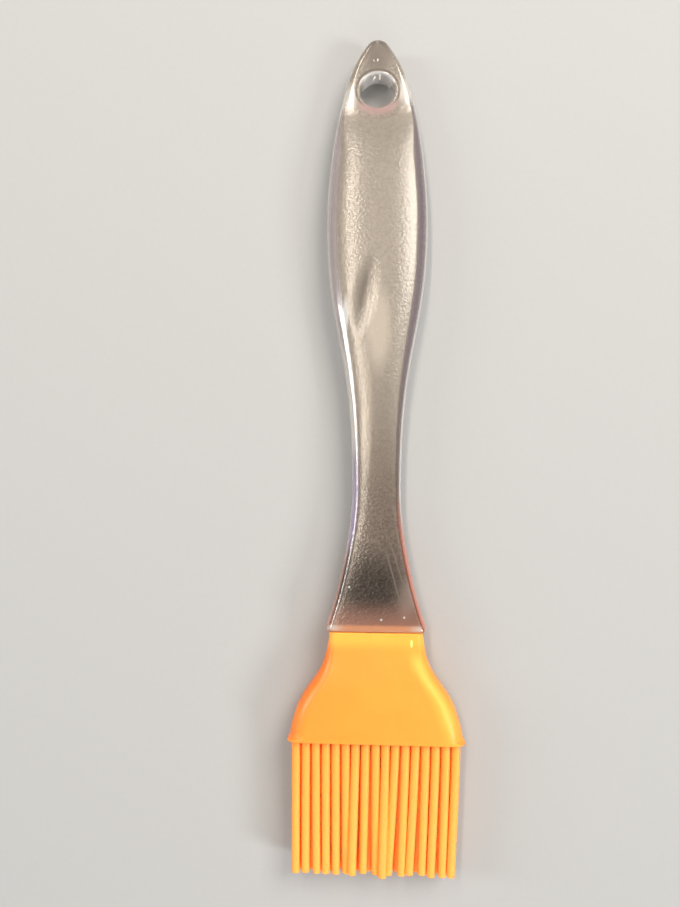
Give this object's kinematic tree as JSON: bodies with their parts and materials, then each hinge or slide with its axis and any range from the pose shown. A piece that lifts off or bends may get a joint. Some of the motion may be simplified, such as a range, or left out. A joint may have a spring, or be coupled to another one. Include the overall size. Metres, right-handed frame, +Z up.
{
  "type": "pastry brush",
  "caption": "Basting and pastry brush: a clear plastic handle with a hanging hole and a pull-off silicone head moulded in one with its bristles.",
  "frame": {"origin": "middle of the surface that the brush lies on, under the centre of its box", "axes": "+Y along the brush towards the hanging tip, +X across its width, +Z up out of its front face"},
  "size_m": [0.0354, 0.1743, 0.0084],
  "materials": {
    "handle_plastic": "clear, satin moulded",
    "head_silicone": "smooth matt silicone"
  },
  "bodies": {
    "handle": {"handle": "handle_plastic"},
    "head": {"brush_head": "head_silicone"}
  },
  "joints": [
    {"name": "head_pull_off", "type": "slide", "parent": "handle", "child": "head", "axis": [0, -1, 0], "range_m": [0, 0.02]}
  ]
}
